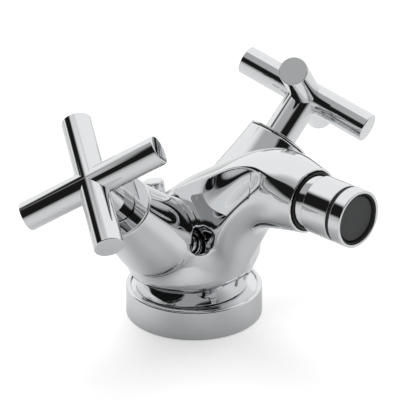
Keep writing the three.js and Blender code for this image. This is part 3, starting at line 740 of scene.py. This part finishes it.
def plastic_finish(name, colour, roughness, grain):
    """Moulded plastic: an even colour with a fine spark-eroded grain."""
    material, tree, shader = bare_material(name, colour, 0)
    here = tree.nodes.new("ShaderNodeTexCoord").outputs["Object"]
    grains = spread(tree, here, 1800, 3.0)
    cloud = spread(tree, here, 90, 3.0)
    tone = tree.nodes.new("ShaderNodeMix")
    tone.data_type = "RGBA"
    tone.inputs["A"].default_value = (*[c * 0.88 for c in colour], 1)
    tone.inputs["B"].default_value = (*[min(1, c * 1.1) for c in colour], 1)
    tree.links.new(cloud, tone.inputs["Factor"])
    tree.links.new(tone.outputs["Result"], shader.inputs["Base Color"])
    sheen = between(tree, grains, 0.3, 0.7, roughness - 0.06, roughness + 0.06)
    tree.links.new(sheen, shader.inputs["Roughness"])
    add_relief(tree, shader, grains, grain * MM)
    return material


black_plastic = plastic_finish("black_plastic", (0.008, 0.008, 0.009), 0.4, 0.004)
grey_plastic = plastic_finish("dark_grey_plastic", (0.05, 0.052, 0.055), 0.55, 0.02)
white_plastic = plastic_finish("white_plastic", (0.8, 0.79, 0.75), 0.4, 0.01)
dress("swivel_seal", rubber)
dress("swivel_liner", white_plastic)
dress("aerator_washer", rubber)

seat_size, seat_back, seat_front = 11.9, -0.8, 3.6
seat_arc = [(math.sqrt(seat_size ** 2 - at ** 2), at) for at in np.linspace(seat_back, seat_front, 9)]
retainer = turned(seat_arc + [(12.0, seat_front), (12.25, seat_front - 0.25), (12.3, seat_back)], 128)
piece_from(retainer, "ball_retainer", outlet_place, "mixer",
           black_plastic, ["swivel_retainer"])

ball_cut, neck_front, nipple_radius, nipple_end, waterway = -8.4, 6.6, 9.5, 14.9, 5
neck_at = math.degrees(math.acos(ball_neck / ball_radius))
ball_rear = math.degrees(math.asin(ball_cut / ball_radius))
ball = turned([(waterway, ball_cut)] + arc(ball_radius, ball_rear, neck_at, 28)
              + [(ball_neck, neck_front), (nipple_radius, neck_front), (nipple_radius, nipple_end),
                 (waterway, nipple_end)], 128)
piece_from(ball, "outlet_ball", outlet_place, "ball", chrome, ["ball_nipple"])

outlet_radius, sleeve_bore, outlet_edge = 12, 9.8, 0.35
housing_start, housing_end = 7.4, 20.3
seam_start, seam_end, seam_radius = 20.4, 21.8, 11.6
collar_start, collar_end, collar_bore = 21.9, 27.6, 10.7
housing = sleeve(sleeve_bore, outlet_radius, housing_start, housing_end, 128, outlet_edge)
piece_from(housing, "outlet_housing", outlet_place, "nozzle", chrome, ["aerator_housing"])
seam = sleeve(sleeve_bore, seam_radius, seam_start, seam_end, 96, 0.25, 2)
piece_from(seam, "outlet_seam_ring", outlet_place, "nozzle", rubber, ["seam_ring"])
collar = sleeve(collar_bore, outlet_radius, collar_start, collar_end, 128, outlet_edge)
piece_from(collar, "outlet_collar", outlet_place, "nozzle", chrome, ["aerator_collar"])

face_radius, face_height, face_edge = 9.45, 26.2, 0.25
groove_radius, groove_floor = 10.2, 24.2
lip_radius, lip_height = 10.4, 27.1
tail_outer, tail_inner, tail_top, tail_bottom = 9.5, 8.5, 23.8, 19.3
insert = turned([(0, face_height), (face_radius - face_edge, face_height),
                 (face_radius, face_height - face_edge), (face_radius, groove_floor),
                 (groove_radius, groove_floor), (groove_radius, lip_height), (lip_radius, lip_height),
                 (lip_radius, tail_top), (tail_outer, tail_top), (tail_outer, tail_bottom),
                 (tail_inner, tail_bottom), (tail_inner, tail_top), (0, tail_top)], 96, closed=False)
piece_from(insert, "outlet_insert", outlet_place, "nozzle",
           grey_plastic, ["aerator_insert"])

# ---------- Waste lift knob ----------
# A chromed rod behind the spout works the pop-up waste. It slides in a white plastic bush pressed
# into the casting, a spring clip under it stops it from pulling out, and a turned knob tops it.

rod_place = axis_frame(rod_foot, rod_axis, (1, 0, 0))
rod_radius, knob_radius, knob_height = 2.25, 4.7, 11.5
rod_way, socket_depth = 2.55, 4.7
rod_foot_end, rod_tip_depth = 1.5, 5
rod_groove, groove_low, groove_high = 1.55, 4.7, 6.3
clip_bore, clip_radius, clip_low, clip_high = 1.85, 3, 5, 6
knob_crown, knob_foot = 1.6, 0.8
knob_bottom = (rim_height + 1.9) / rod_axis[2]
knob_top = knob_bottom + knob_height
knob = turned([(0, knob_top)]
              + arc(knob_crown, 90, 0, 8, (knob_radius - knob_crown, knob_top - knob_crown))
              + arc(knob_foot, 0, -90, 4, (knob_radius - knob_foot, knob_bottom + knob_foot))
              + [(rod_way, knob_bottom), (rod_way, knob_top - socket_depth), (0, knob_top - socket_depth)],
              96, closed=False)
piece_from(knob, "waste_knob", rod_place, "lift", chrome, ["lift_knob"])
rod_tip = knob_top - rod_tip_depth
rod = turned([(0, rod_foot_end), (rod_radius, rod_foot_end), (rod_radius, groove_low),
              (rod_groove, groove_low), (rod_groove, groove_high),
              (rod_radius, groove_high), (rod_radius, rod_tip), (0, rod_tip)], 64, 0.12, 2, closed=False)
piece_from(rod, "waste_rod", rod_place, "lift", chrome, ["lift_rod"])
clip = sleeve(clip_bore, clip_radius, clip_low, clip_high, 48, 0.1, 2)
piece_from(clip, "rod_spring_clip", rod_place, "lift",
           spring_steel, ["lift_rod_clip"])
bush_top = (rim_height - 1.5) / rod_axis[2]
bush_radius, bush_length = 3.9, 8
bush = sleeve(rod_way, bush_radius, bush_top - bush_length, bush_top, 64, 0.25, 2)
piece_from(bush, "rod_bush", rod_place, "mixer",
           white_plastic, ["lift_rod_bush"])
